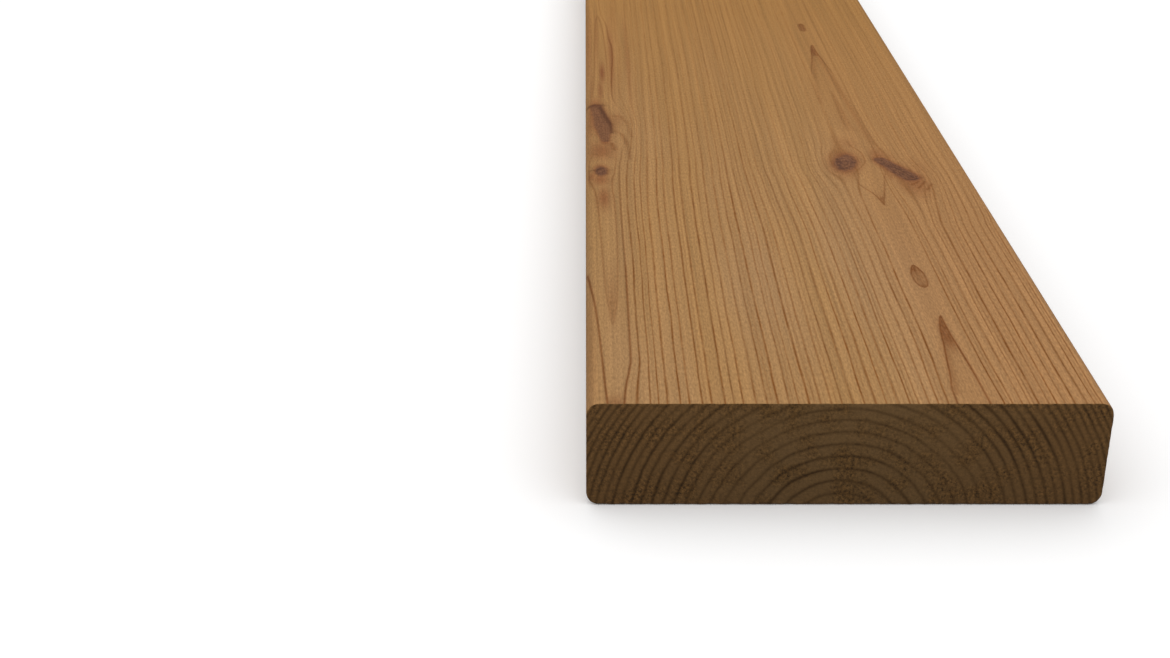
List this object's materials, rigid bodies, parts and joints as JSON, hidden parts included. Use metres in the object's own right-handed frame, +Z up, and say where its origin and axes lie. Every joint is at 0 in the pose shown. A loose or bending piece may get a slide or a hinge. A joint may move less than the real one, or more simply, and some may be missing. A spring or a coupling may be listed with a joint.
{
  "type": "timber plank",
  "caption": "Planed softwood plank with a flat rectangular section, rounded long edges and square-cut ends, laid as decking, cladding or shelving.",
  "frame": {"origin": "middle of the underside, on the ground the plank lies on", "axes": "+Y along the length and the grain, away from the viewer; +X across the width, to the right; +Z up through the thickness, out of the top face"},
  "size_m": [0.118, 1.8, 0.026],
  "materials": {
    "timber": "planed, bare, warm brown pine with matt faces and darker sawn end grain"
  },
  "bodies": {
    "root": {"plank": "timber"}
  },
  "joints": []
}
